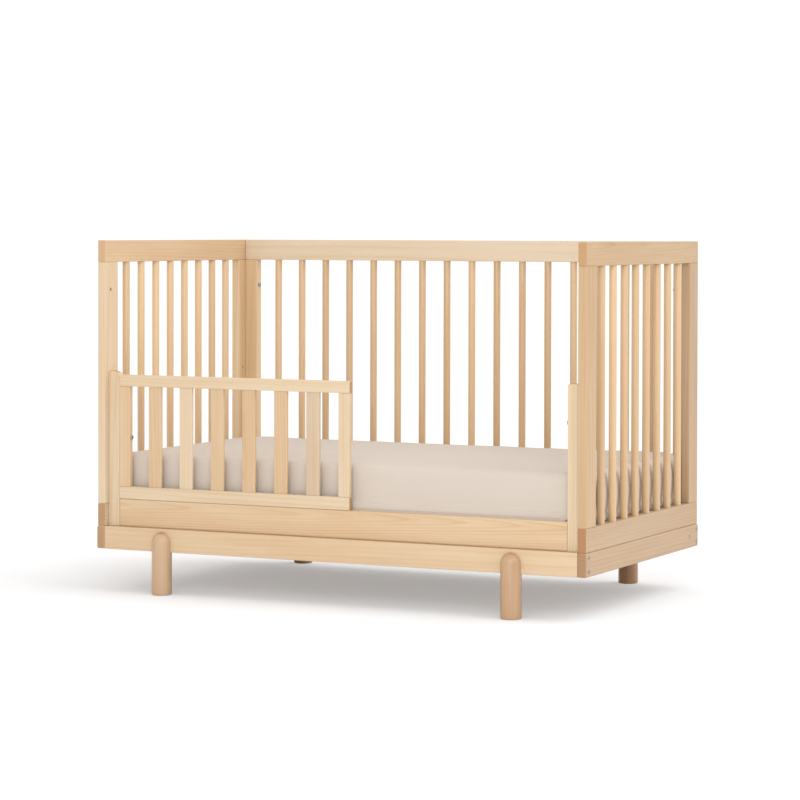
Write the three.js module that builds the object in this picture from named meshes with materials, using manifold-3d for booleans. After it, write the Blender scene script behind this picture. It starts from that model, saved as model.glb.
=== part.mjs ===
// A baby crib set up as a toddler bed: two end panels and a back panel of rails, posts and round
// spindles on a plinth base with four round legs. The open front has an apron board between two
// short support stiles, and a half-length slatted guard. A mattress lies on a steel deck.
//
// Frame: millimetres, +X along the bed to the right, +Y from the front to the back, +Z up.
// Origin: on the floor, under the middle of the bed.
import * as THREE from "three";
import { mergeVertices } from "three/addons/utils/BufferGeometryUtils.js";
import Module from "manifold-3d";

// ---- driving dimensions -------------------------------------------------------------------

const INNER_LENGTH = 1330; // between the end panels, the standard full-size crib interior
const PANEL_DEPTH = 762; // end panels, front to back
const TOTAL_HEIGHT = 912; // floor to the top rails
const END_THICKNESS = 23; // rails and posts of the end panels
const BACK_THICKNESS = 25; // rails and stiles of the back panel
const TOP_RAIL_HEIGHT = 57;
const BOTTOM_RAIL_HEIGHT = 58.5;
const POST_DEPTH = 61.5; // end posts, measured front to back
const BACK_STILE_WIDTH = 37.5;
const TIMBER_EASE = 1.5; // radius on the edges of the panel timbers

const FLOOR_CLEARANCE = 109; // floor to the underside of the base
const BASE_HEIGHT = 59;
const BASE_THICKNESS = 24;
const BASE_PROUD = 2; // the base stands out past the panels on every side
const BASE_EASE = 3;
const BASE_BOLT_INSET = 14; // base corner bolts, from the outer face of the front or back rail
const BASE_BOLT_SPACING = 33;
const BASE_BOLT_RECESS_RADIUS = 6.5;
const BASE_BOLT_RECESS_DEPTH = 3;

const LEG_RADIUS = 26;
const LEG_INSET = 197.5; // leg axis, from the outer face of the base's end rail
const LEG_TOP_BELOW_SEAM = 7.5; // top of the dome, below the top of the base
const LEG_FOOT_EASE = 3;
const LEG_NOTCH_CLEARANCE = 0.3;

const SPINDLE_RADIUS = 9.5;
const SPINDLE_SOCKET_DEPTH = 12;
const SPINDLE_CLEARANCE = 0.5; // between a spindle and the wall of its socket
const END_SPINDLE_COUNT = 8;
const END_SPINDLE_EDGE_GAP = 52; // clear gap between a post and the nearest spindle
const BACK_SPINDLE_COUNT = 16;
const BACK_SPINDLE_EDGE_GAP = 53.5; // clear gap between a stile and the nearest spindle
const BATTEN_WIDTH = 12; // hidden strip that the end spindles are screwed to
const BATTEN_HEIGHT = 14;
const BATTEN_END_MARGIN = 6; // the strip runs on past the outermost spindles
const BATTEN_CLEARANCE = 0.5;

const FRONT_SETBACK = 16; // front kit's face behind the front of the end panels
const STILE_WIDTH = 33;
const FRONT_THICKNESS = 20; // support stiles and apron
const APRON_HEIGHT = 71.5;
const APRON_EASE = 3;
const STILE_RISE = 9.5; // support stiles above the guard's top rail
const LEFT_STILE_FLAT = 10; // flat part of the left stile's top, before its long curve
const RIGHT_STILE_CORNER = 6;

const GUARD_LENGTH = 674;
const GUARD_HEIGHT = 323;
const GUARD_THICKNESS = 16;
const GUARD_TOP_RAIL_HEIGHT = 30;
const GUARD_BOTTOM_RAIL_HEIGHT = 32.5;
const GUARD_STILE_WIDTH = 31.5;
const GUARD_STILE_RECESS = 1; // guard stiles behind the face of the guard rails
const GUARD_SLAT_COUNT = 6;
const GUARD_SLAT_WIDTH = 38;
const GUARD_SLAT_THICKNESS = 9;
const GUARD_MORTISE_DEPTH = 8;
const GUARD_MORTISE_CLEARANCE = 0.3;
const GUARD_SCREW_FROM_STILE = 513; // guard screw, from the left support stile

const DECK_TOP = 238; // top of the mattress support, above the floor
const DECK_SIDE_CLEARANCE = 10; // between the support and the end panels
const DECK_EDGE_CLEARANCE = 5; // between the support and the apron or the back panel
const DECK_HEIGHT = 20;
const DECK_STEEL = 2.5;
const DECK_FLANGE = 25;
const DECK_WIRE = 5;
const DECK_LONG_WIRES = 5;
const DECK_CROSS_WIRES = 9;
const HANGER_WIDTH = 22;
const HANGER_RISE = 24; // hanger plate above the top of the support
const HANGER_GAP = 1; // between a hanger plate and the end panel

const MATTRESS_END_CLEARANCE = 8;
const MATTRESS_SIDE_CLEARANCE = 3.5;
const MATTRESS_THICKNESS = 119;
const MATTRESS_CORNER = 45;
const MATTRESS_EDGE = 18;
const MATTRESS_GAP = 0.5; // between the mattress and the support

const BOLT_RADIUS = 3;
const BOLT_CLEARANCE = 0.4;
const BOLT_HEAD_RADIUS = 6;
const BOLT_HEAD_HEIGHT = 3.5;
const BOLT_INTO_POST = 15; // length of a bolt in the last timber
const BOLT_END_GAP = 1; // between a bolt's end and the bottom of its hole
const UPPER_BOLT_BELOW_TOP = 128; // upper panel bolts, below the top of the crib
const INSERT_HOLE_RADIUS = 4.8; // empty insert holes near the tops of the front posts
const STILE_BOLT_BELOW_TOP = 94; // right support stile's bolt, below the stile's top
const GUARD_BOLT_ABOVE_SEAM = 232; // guard bolt, above the top of the base
const SCREW_RADIUS = 2;
const SCREW_HEAD_RADIUS = 4;
const SCREW_HEAD_HEIGHT = 1.5;
const SCREW_INTO_APRON = 25;
const PILOT_HOLE_DEPTH = 20;
const PILOT_HOLE_FROM_STILE = 188; // spare pilot hole in the apron, from the right support stile
const DECK_POSITION_STEP = 150; // spacing of the holes that the support can hang from
const DECK_POSITIONS = 3;

const OVERRUN = 1; // cutting tools run this far past the faces they cut

const ROUND_SEGMENTS = 16;
const SOCKET_SEGMENTS = 12;
const LEG_SEGMENTS = 24;
const BOLT_SEGMENTS = 8;
const EDGE_SEGMENTS = 2;
const CURVE_SEGMENTS = 4;
const DOME_STEPS = 4;

// ---- places worked out from the dimensions ------------------------------------------------

// Faces that meet share one value, on a grid that 32-bit numbers hold exactly.
const grid = (value) => Math.round(value * 64) / 64;
const between = (centre, size) => [grid(centre - size / 2), grid(centre + size / 2)];
const middle = ([low, high]) => (low + high) / 2;
const LEFT = -1;
const RIGHT = 1;
const FRONT = -1;
const BACK = 1;

const innerX = grid(INNER_LENGTH / 2);
const outerX = grid(innerX + END_THICKNESS);
const panelY = grid(PANEL_DEPTH / 2);
const baseX = grid(outerX + BASE_PROUD);
const baseY = grid(panelY + BASE_PROUD);
const baseZ = [grid(FLOOR_CLEARANCE), grid(FLOOR_CLEARANCE + BASE_HEIGHT)];
const seamZ = baseZ[1];
const bottomRailZ = [seamZ, grid(seamZ + BOTTOM_RAIL_HEIGHT)];
const topRailZ = [grid(TOTAL_HEIGHT - TOP_RAIL_HEIGHT), grid(TOTAL_HEIGHT)];
const openZ = [bottomRailZ[1], topRailZ[0]];
const postInnerY = grid(panelY - POST_DEPTH);
const endMiddleX = (innerX + outerX) / 2;
const backY = [grid(panelY - BACK_THICKNESS), panelY];
const backStileX = grid(innerX - BACK_STILE_WIDTH);

const frontFaceY = grid(-panelY + FRONT_SETBACK);
const frontY = [frontFaceY, grid(frontFaceY + FRONT_THICKNESS)];
const apronX = grid(innerX - STILE_WIDTH);
const apronZ = [seamZ, grid(seamZ + APRON_HEIGHT)];
const guardX = [-apronX, grid(-apronX + GUARD_LENGTH)];
const guardY = [frontFaceY, grid(frontFaceY + GUARD_THICKNESS)];
const guardZ = [apronZ[1], grid(apronZ[1] + GUARD_HEIGHT)];
const guardOpenZ = [
  grid(guardZ[0] + GUARD_BOTTOM_RAIL_HEIGHT),
  grid(guardZ[1] - GUARD_TOP_RAIL_HEIGHT),
];
const guardBoltZ = seamZ + GUARD_BOLT_ABOVE_SEAM;
const stileTopZ = grid(guardZ[1] + STILE_RISE);
const stileBoltZ = stileTopZ - STILE_BOLT_BELOW_TOP;
const guardStileInX = [
  grid(guardX[0] + GUARD_STILE_WIDTH),
  grid(guardX[1] - GUARD_STILE_WIDTH - GUARD_STILE_RECESS),
];

const deckY = [grid(frontY[1] + DECK_EDGE_CLEARANCE), grid(backY[0] - DECK_EDGE_CLEARANCE)];
const deckX = grid(innerX - DECK_SIDE_CLEARANCE);
const deckZ = [grid(DECK_TOP - DECK_HEIGHT), grid(DECK_TOP)];
const hangerZ = [deckZ[0], grid(DECK_TOP + HANGER_RISE)];
const hangerX = [deckX, grid(innerX - HANGER_GAP)];
const hangerHoleZ = hangerZ[1] - HANGER_WIDTH / 2;

const upperBoltZ = TOTAL_HEIGHT - UPPER_BOLT_BELOW_TOP;
const spindleZ = [openZ[0] - SPINDLE_SOCKET_DEPTH, openZ[1] + SPINDLE_SOCKET_DEPTH].map(grid);

// ---- shapes -------------------------------------------------------------------------------

const wasm = await Module();
wasm.setup();

// A closed three.js geometry as a manifold-3d solid.
function toSolid(geometry) {
  const bare = new THREE.BufferGeometry().setAttribute("position", geometry.getAttribute("position"));
  const merged = mergeVertices(geometry.index ? bare.setIndex(geometry.index) : bare, 1e-4);
  return new wasm.Manifold(
    new wasm.Mesh({
      numProp: 3,
      vertProperties: merged.getAttribute("position").array,
      triVerts: new Uint32Array(merged.index.array),
    }),
  );
}

function toGeometry(solid) {
  const mesh = solid.getMesh();
  return new THREE.BufferGeometry()
    .setAttribute("position", new THREE.BufferAttribute(mesh.vertProperties, mesh.numProp))
    .setIndex(new THREE.BufferAttribute(mesh.triVerts, 1));
}

const cut = (body, tools) =>
  toGeometry(tools.reduce((solid, tool) => solid.subtract(toSolid(tool)), toSolid(body)));
const join = (pieces) =>
  toGeometry(pieces.slice(1).reduce((solid, piece) => solid.add(toSolid(piece)), toSolid(pieces[0])));

// Lays a geometry's own z axis along x, y or z.
function turnTo(axis, geometry) {
  if (axis === "x") geometry.rotateY(Math.PI / 2);
  if (axis === "y") geometry.rotateX(-Math.PI / 2);
  return geometry;
}

// A rectangle with round corners, centred on the origin.
function roundRectangle(width, height, radius) {
  const x = width / 2 - radius;
  const y = height / 2 - radius;
  const quarter = Math.PI / 2;
  const shape = new THREE.Shape();
  shape.absarc(x, y, radius, 0, quarter);
  shape.absarc(-x, y, radius, quarter, 2 * quarter);
  shape.absarc(-x, -y, radius, 2 * quarter, 3 * quarter);
  shape.absarc(x, -y, radius, 3 * quarter, 4 * quarter);
  return shape;
}

// Extrudes a shape along z, centred, with its end edges eased inside the given length.
// three.js divides an arc of the shape into twice curveSegments.
function easedExtrude(shape, length, ease, curveSegments, bevelSegments) {
  const depth = length - 2 * ease;
  return new THREE.ExtrudeGeometry(shape, {
    depth,
    steps: 1,
    curveSegments,
    bevelEnabled: true,
    bevelThickness: ease,
    bevelSize: ease,
    bevelOffset: -ease,
    bevelSegments,
  }).translate(0, 0, -depth / 2);
}

const span = ([low, high]) => high - low;
const plainBox = (x, y, z) =>
  new THREE.BoxGeometry(span(x), span(y), span(z)).translate(middle(x), middle(y), middle(z));

// A timber between the given limits, with every edge eased and its grain along its longest side.
function timber(x, y, z, ease = TIMBER_EASE) {
  const size = { x: span(x), y: span(y), z: span(z) };
  const axis = Object.keys(size).reduce((a, b) => (size[b] > size[a] ? b : a));
  const section = { x: [size.z, size.y], y: [size.x, size.z], z: [size.x, size.y] }[axis];
  const outline = roundRectangle(section[0], section[1], 1.25 * ease);
  const bar = easedExtrude(outline, size[axis], ease, EDGE_SEGMENTS / 2, EDGE_SEGMENTS);
  return turnTo(axis, bar).translate(middle(x), middle(y), middle(z));
}

// A round rod of one radius, from one point along x, y or z by a signed length.
function rod(axis, from, length, radius, segments = ROUND_SEGMENTS) {
  const cylinder = new THREE.CylinderGeometry(radius, radius, Math.abs(length), segments);
  cylinder.rotateX(Math.PI / 2).translate(0, 0, length / 2);
  return turnTo(axis, cylinder).translate(from.x, from.y, from.z);
}

const at = (x, y, z) => new THREE.Vector3(x, y, z);

// Evenly spaced places, with a clear gap at each end of the span.
function spindlePlaces(limits, count, edgeGap) {
  const first = limits[0] + edgeGap + SPINDLE_RADIUS;
  const last = limits[1] - edgeGap - SPINDLE_RADIUS;
  return Array.from({ length: count }, (_, i) => grid(first + ((last - first) * i) / (count - 1)));
}

const endSpindleY = spindlePlaces([-postInnerY, postInnerY], END_SPINDLE_COUNT, END_SPINDLE_EDGE_GAP);
const backSpindleX = spindlePlaces([-backStileX, backStileX], BACK_SPINDLE_COUNT, BACK_SPINDLE_EDGE_GAP);
const spindleSocket = (x, y, z, length) =>
  rod("z", at(x, y, z), length, SPINDLE_RADIUS + SPINDLE_CLEARANCE, SOCKET_SEGMENTS);

// ---- materials ----------------------------------------------------------------------------

const material = (color, roughness, metalness = 0) =>
  new THREE.MeshStandardMaterial({ color, roughness, metalness });
const paleWood = material(0xe8cda4, 0.55);
const endWood = material(0xdfc096, 0.55);
const spindleWood = material(0xd9ae7c, 0.5);
const legWood = material(0xd0a274, 0.5);
const sheetCotton = material(0xe2d5c7, 0.9);
const steel = material(0xb9bbbd, 0.35, 1);
const deckSteel = material(0xc9c9c6, 0.5, 0.6);

// ---- the model ----------------------------------------------------------------------------

const crib = new THREE.Group();
crib.name = "crib";

// Each mesh sits at the middle of its own geometry, in the group of its sub-assembly.
function group(name) {
  const made = new THREE.Group();
  made.name = name;
  crib.add(made);
  return made;
}

function add(parent, name, geometry, look) {
  geometry.computeBoundingBox();
  const centre = geometry.boundingBox.getCenter(new THREE.Vector3());
  centre.set(grid(centre.x), grid(centre.y), grid(centre.z));
  const mesh = new THREE.Mesh(geometry.translate(-centre.x, -centre.y, -centre.z), look);
  mesh.name = name;
  mesh.position.copy(centre);
  parent.add(mesh);
}

const sideName = (side) => (side === LEFT ? "left" : "right");
const faceName = (face) => (face === FRONT ? "front" : "rear");
const ordered = (a, b) => (a < b ? [a, b] : [b, a]);

// Base: end rails run the full depth, and the front and back rails are bolted between them.
function addBase() {
  const base = group("base");
  const railX = grid(baseX - BASE_THICKNESS);
  for (const side of [LEFT, RIGHT]) {
    const recesses = [];
    for (const face of [FRONT, BACK])
      for (const up of [-1, 1]) {
        const y = face * (baseY - BASE_BOLT_INSET);
        const z = middle(baseZ) + (up * BASE_BOLT_SPACING) / 2;
        const outside = at(side * (baseX + OVERRUN), y, z);
        const depth = -side * (BASE_BOLT_RECESS_DEPTH + OVERRUN);
        recesses.push(rod("x", outside, depth, BASE_BOLT_RECESS_RADIUS, BOLT_SEGMENTS));
      }
    const rail = timber(ordered(side * railX, side * baseX), [-baseY, baseY], baseZ, BASE_EASE);
    add(base, "base_" + sideName(side) + "_end_rail", cut(rail, recesses), paleWood);
  }
  for (const face of [FRONT, BACK]) {
    const y = ordered(face * grid(baseY - BASE_THICKNESS), face * baseY);
    const rail = timber([-railX, railX], y, baseZ);
    add(base, "base_" + faceName(face) + "_rail", rail, paleWood);
  }
}

// Leg: a round post with a domed top. Its upper half is notched over the base rail.
function addLegs() {
  const legs = group("legs");
  const top = seamZ - LEG_TOP_BELOW_SEAM;
  const outline = [
    new THREE.Vector2(0, 0),
    new THREE.Vector2(LEG_RADIUS - LEG_FOOT_EASE, 0),
    new THREE.Vector2(LEG_RADIUS, LEG_FOOT_EASE),
  ];
  for (let i = 0; i < DOME_STEPS; i++) {
    const angle = (i / DOME_STEPS) * (Math.PI / 2);
    outline.push(
      new THREE.Vector2(LEG_RADIUS * Math.cos(angle), top - LEG_RADIUS + LEG_RADIUS * Math.sin(angle)),
    );
  }
  outline.push(new THREE.Vector2(0, top));
  const axisX = baseX - LEG_INSET;
  for (const face of [FRONT, BACK])
    for (const side of [LEFT, RIGHT]) {
      const post = new THREE.LatheGeometry(outline, LEG_SEGMENTS).rotateX(Math.PI / 2);
      post.translate(side * axisX, face * baseY, 0);
      const notchFace = face * (baseY + LEG_NOTCH_CLEARANCE);
      const notch = plainBox(
        between(side * axisX, 4 * LEG_RADIUS),
        ordered(notchFace, notchFace - face * 2 * LEG_RADIUS),
        [baseZ[0], top + LEG_RADIUS],
      );
      const name = "leg_" + faceName(face) + "_" + sideName(side);
      add(legs, name, cut(post, [notch]), legWood);
    }
}

// Along y and z, the bolt that goes through each support stile into its post.
const stileBoltPlace = (side) =>
  side === LEFT ? [middle(guardY), guardBoltZ] : [middle(frontY), stileBoltZ];

// Blind holes in the inner face of a post: for the support's hangers, at each height it can hang
// from, and for its panel's or support stile's bolt. A front post has an empty insert hole too.
function postHoles(side, face) {
  const places = Array.from({ length: DECK_POSITIONS }, (_, i) => [
    hangerY(face),
    hangerHoleZ + i * DECK_POSITION_STEP,
  ]);
  places.push(face === FRONT ? stileBoltPlace(side) : [middle(backY), upperBoltZ]);
  const from = side * (innerX - OVERRUN);
  const length = side * (BOLT_INTO_POST + BOLT_END_GAP + OVERRUN);
  const holes = places.map(([y, z]) => boltHole(from, y, z, length));
  if (face === FRONT) {
    const insert = at(from, middle(frontY), upperBoltZ);
    holes.push(rod("x", insert, length, INSERT_HOLE_RADIUS, BOLT_SEGMENTS));
  }
  return holes;
}

// End panels: top and bottom rails run the full depth, with posts and spindles between them.
function addEndPanels() {
  for (const side of [LEFT, RIGHT]) {
    const name = sideName(side);
    const panel = group(name + "_end_panel");
    const x = ordered(side * innerX, side * outerX);
    const axisX = side * endMiddleX;
    const full = [-panelY, panelY];
    const battenZ = [grid(seamZ + BATTEN_CLEARANCE), grid(seamZ + BATTEN_CLEARANCE + BATTEN_HEIGHT)];
    const footZ = grid(middle(battenZ)); // the spindles run down into the batten as far as this
    const reach = endSpindleY[endSpindleY.length - 1] + BATTEN_END_MARGIN;

    const topSockets = endSpindleY.map((y) =>
      spindleSocket(axisX, y, openZ[1] - OVERRUN, SPINDLE_SOCKET_DEPTH + OVERRUN),
    );
    add(panel, name + "_end_top_rail", cut(timber(x, full, topRailZ), topSockets), endWood);

    const groove = plainBox(
      between(axisX, BATTEN_WIDTH + 2 * BATTEN_CLEARANCE),
      [-reach - BATTEN_CLEARANCE, reach + BATTEN_CLEARANCE],
      [seamZ - OVERRUN, battenZ[1] + BATTEN_CLEARANCE],
    );
    const socketBottom = footZ - BATTEN_CLEARANCE;
    const bottomSockets = endSpindleY.map((y) =>
      spindleSocket(axisX, y, socketBottom, openZ[0] + OVERRUN - socketBottom),
    );
    const bottomRail = cut(timber(x, full, bottomRailZ), [groove, ...bottomSockets]);
    add(panel, name + "_end_bottom_rail", bottomRail, endWood);

    for (const face of [FRONT, BACK]) {
      const y = ordered(face * postInnerY, face * panelY);
      const post = cut(timber(x, y, openZ), postHoles(side, face));
      add(panel, name + "_" + faceName(face) + "_post", post, endWood);
    }

    const batten = plainBox(between(axisX, BATTEN_WIDTH), [-reach, reach], battenZ);
    const rodLength = spindleZ[1] - SPINDLE_CLEARANCE - footZ;
    const rods = endSpindleY.map((y) => rod("z", at(axisX, y, footZ), rodLength, SPINDLE_RADIUS));
    add(panel, name + "_end_spindles", join([batten, ...rods]), spindleWood);
  }
}

// Bolt along x: its head bears on the face at x, and its shank points in the given direction.
function bolt(x, y, z, direction, length) {
  const roundness = 0.35;
  const outline = [
    new THREE.Vector2(0, -length),
    new THREE.Vector2(BOLT_RADIUS, -length),
    new THREE.Vector2(BOLT_RADIUS, 0),
    new THREE.Vector2(BOLT_HEAD_RADIUS, 0),
    new THREE.Vector2(BOLT_HEAD_RADIUS, BOLT_HEAD_HEIGHT * (1 - roundness)),
    new THREE.Vector2(BOLT_HEAD_RADIUS * (1 - roundness), BOLT_HEAD_HEIGHT),
    new THREE.Vector2(0, BOLT_HEAD_HEIGHT),
  ];
  const turned = new THREE.LatheGeometry(outline, BOLT_SEGMENTS).rotateX(Math.PI / 2);
  turned.rotateY((-direction * Math.PI) / 2);
  return turned.translate(x, y, z);
}

const boltHole = (x, y, z, length) =>
  rod("x", at(x, y, z), length, BOLT_RADIUS + BOLT_CLEARANCE, BOLT_SEGMENTS);
const screwHoleAt = (from, length) =>
  rod("z", from, length, SCREW_RADIUS + BOLT_CLEARANCE, BOLT_SEGMENTS);

// Back panel: rails between the end panels, stiles bolted to the rear posts, loose spindles.
function addBackPanel() {
  const panel = group("back_panel");
  const x = [-innerX, innerX];
  const axisY = middle(backY);
  const length = SPINDLE_SOCKET_DEPTH + OVERRUN;
  const topTools = backSpindleX.map((place) =>
    spindleSocket(place, axisY, openZ[1] - OVERRUN, length),
  );
  const bottomTools = backSpindleX.map((place) =>
    spindleSocket(place, axisY, openZ[0] + OVERRUN, -length),
  );
  add(panel, "back_top_rail", cut(timber(x, backY, topRailZ), topTools), paleWood);
  add(panel, "back_bottom_rail", cut(timber(x, backY, bottomRailZ), bottomTools), paleWood);
  for (const side of [LEFT, RIGHT]) {
    const stile = timber(ordered(side * backStileX, side * innerX), backY, openZ);
    const holeX = side * (backStileX - OVERRUN);
    const hole = boltHole(holeX, axisY, upperBoltZ, side * (BACK_STILE_WIDTH + 2 * OVERRUN));
    add(panel, "back_" + sideName(side) + "_stile", cut(stile, [hole]), paleWood);
    const shank = BACK_STILE_WIDTH + BOLT_INTO_POST;
    const fastener = bolt(side * backStileX, axisY, upperBoltZ, side, shank);
    add(panel, "back_" + sideName(side) + "_stile_bolt", fastener, steel);
  }
  const spindleLength = span(spindleZ) - 2 * SPINDLE_CLEARANCE;
  backSpindleX.forEach((place, i) => {
    const foot = at(place, axisY, spindleZ[0] + SPINDLE_CLEARANCE);
    const spindle = rod("z", foot, spindleLength, SPINDLE_RADIUS);
    add(panel, "back_spindle_" + String(i + 1).padStart(2, "0"), spindle, spindleWood);
  });
}

// Outline of a support stile in x and z. Its inner top corner is curved.
function stileOutline(side) {
  const foot = seamZ;
  const wall = side * innerX;
  const edge = side * apronX;
  const shape = new THREE.Shape();
  if (side === LEFT) {
    // A long curve, level where it leaves the flat, that comes down to the guard's top edge.
    const run = STILE_WIDTH - LEFT_STILE_FLAT;
    const radius = (run * run + STILE_RISE * STILE_RISE) / (2 * STILE_RISE);
    const turn = Math.asin(run / radius);
    shape.moveTo(wall, foot);
    shape.lineTo(edge, foot);
    shape.absarc(wall + LEFT_STILE_FLAT, stileTopZ - radius, radius, Math.PI / 2 - turn, Math.PI / 2);
    shape.lineTo(wall, stileTopZ);
  } else {
    shape.moveTo(edge, foot);
    shape.lineTo(wall, foot);
    shape.lineTo(wall, stileTopZ);
    const corner = RIGHT_STILE_CORNER;
    shape.absarc(edge + corner, stileTopZ - corner, corner, Math.PI / 2, Math.PI);
  }
  return shape;
}

// Front kit: two support stiles with the apron board between them.
function addFrontKit() {
  const kit = group("front_kit");
  for (const side of [LEFT, RIGHT]) {
    const outline = stileOutline(side);
    const board = easedExtrude(outline, FRONT_THICKNESS, TIMBER_EASE, CURVE_SEGMENTS, EDGE_SEGMENTS);
    board.rotateX(Math.PI / 2).translate(0, middle(frontY), 0);
    const [boltY, boltZ] = stileBoltPlace(side);
    const holeX = side * (apronX - OVERRUN);
    const hole = boltHole(holeX, boltY, boltZ, side * (STILE_WIDTH + 2 * OVERRUN));
    add(kit, sideName(side) + "_support_stile", cut(board, [hole]), paleWood);
    if (side === RIGHT) {
      const fastener = bolt(apronX, boltY, boltZ, RIGHT, STILE_WIDTH + BOLT_INTO_POST);
      add(kit, "right_stile_bolt", fastener, steel);
    }
  }
  const board = timber([-apronX, apronX], frontY, apronZ, APRON_EASE);
  const pilots = [
    at(-apronX + GUARD_SCREW_FROM_STILE, middle(guardY), apronZ[1] + OVERRUN),
    at(apronX - PILOT_HOLE_FROM_STILE, middle(frontY), apronZ[1] + OVERRUN),
  ];
  const depths = [SCREW_INTO_APRON + BOLT_END_GAP, PILOT_HOLE_DEPTH];
  const holes = pilots.map((from, i) => screwHoleAt(from, -depths[i] - OVERRUN));
  add(kit, "apron", cut(board, holes), paleWood);
}

// Guard: two rails, a stile at each end and flat slats let into the rails.
function addGuard() {
  const guard = group("guard");
  const topZ = [guardOpenZ[1], guardZ[1]];
  const bottomZ = [guardZ[0], guardOpenZ[0]];
  const openLength = span(guardStileInX) - GUARD_SLAT_COUNT * GUARD_SLAT_WIDTH;
  const pitch = openLength / (GUARD_SLAT_COUNT + 1) + GUARD_SLAT_WIDTH;
  const firstSlatX = guardStileInX[0] + pitch - GUARD_SLAT_WIDTH / 2;
  const slatX = Array.from({ length: GUARD_SLAT_COUNT }, (_, i) =>
    between(firstSlatX + i * pitch, GUARD_SLAT_WIDTH),
  );
  const slatY = between(middle(guardY), GUARD_SLAT_THICKNESS);
  const widened = ([low, high]) => [low - GUARD_MORTISE_CLEARANCE, high + GUARD_MORTISE_CLEARANCE];
  const mortises = (z) => slatX.map((x) => plainBox(widened(x), widened(slatY), z));

  add(
    guard,
    "guard_top_rail",
    cut(timber(guardX, guardY, topZ), mortises([topZ[0] - OVERRUN, topZ[0] + GUARD_MORTISE_DEPTH])),
    paleWood,
  );
  const screwX = guardX[0] + GUARD_SCREW_FROM_STILE;
  const screwFrom = at(screwX, middle(guardY), bottomZ[0] - OVERRUN);
  const screwHole = screwHoleAt(screwFrom, GUARD_BOTTOM_RAIL_HEIGHT + 2 * OVERRUN);
  const bottomTools = mortises([bottomZ[1] - GUARD_MORTISE_DEPTH, bottomZ[1] + OVERRUN]);
  const bottomRail = cut(timber(guardX, guardY, bottomZ), [...bottomTools, screwHole]);
  add(guard, "guard_bottom_rail", bottomRail, paleWood);

  const stileY = [grid(guardY[0] + GUARD_STILE_RECESS), grid(guardY[1] - GUARD_STILE_RECESS)];
  const mounting = timber([guardX[0], guardStileInX[0]], stileY, guardOpenZ);
  const holeX = guardStileInX[0] + OVERRUN;
  const hole = boltHole(holeX, middle(guardY), guardBoltZ, -GUARD_STILE_WIDTH - 2 * OVERRUN);
  add(guard, "guard_mounting_stile", cut(mounting, [hole]), paleWood);
  const endStileX = [guardStileInX[1], grid(guardX[1] - GUARD_STILE_RECESS)];
  add(guard, "guard_end_stile", timber(endStileX, stileY, guardOpenZ), paleWood);

  const slatZ = [
    grid(guardOpenZ[0] - GUARD_MORTISE_DEPTH + GUARD_MORTISE_CLEARANCE),
    grid(guardOpenZ[1] + GUARD_MORTISE_DEPTH - GUARD_MORTISE_CLEARANCE),
  ];
  slatX.forEach((x, i) => add(guard, "guard_slat_" + (i + 1), timber(x, slatY, slatZ), paleWood));

  const shank = GUARD_STILE_WIDTH + STILE_WIDTH + BOLT_INTO_POST;
  add(guard, "guard_bolt", bolt(guardStileInX[0], middle(guardY), guardBoltZ, LEFT, shank), steel);
  const screwLength = GUARD_BOTTOM_RAIL_HEIGHT + SCREW_INTO_APRON;
  const screwOutline = [
    new THREE.Vector2(0, -screwLength),
    new THREE.Vector2(SCREW_RADIUS, -screwLength),
    new THREE.Vector2(SCREW_RADIUS, 0),
    new THREE.Vector2(SCREW_HEAD_RADIUS, 0),
    new THREE.Vector2(SCREW_HEAD_RADIUS / 2, SCREW_HEAD_HEIGHT),
    new THREE.Vector2(0, SCREW_HEAD_HEIGHT),
  ];
  const screw = new THREE.LatheGeometry(screwOutline, BOLT_SEGMENTS).rotateX(Math.PI / 2);
  add(guard, "guard_screw", screw.translate(screwX, middle(guardY), bottomZ[1]), steel);
}

// Middle of the hanger plates at the front or the back, along y.
function hangerY(face) {
  const corner = face === FRONT ? deckY[0] : deckY[1];
  return corner - (face * HANGER_WIDTH) / 2;
}

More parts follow.
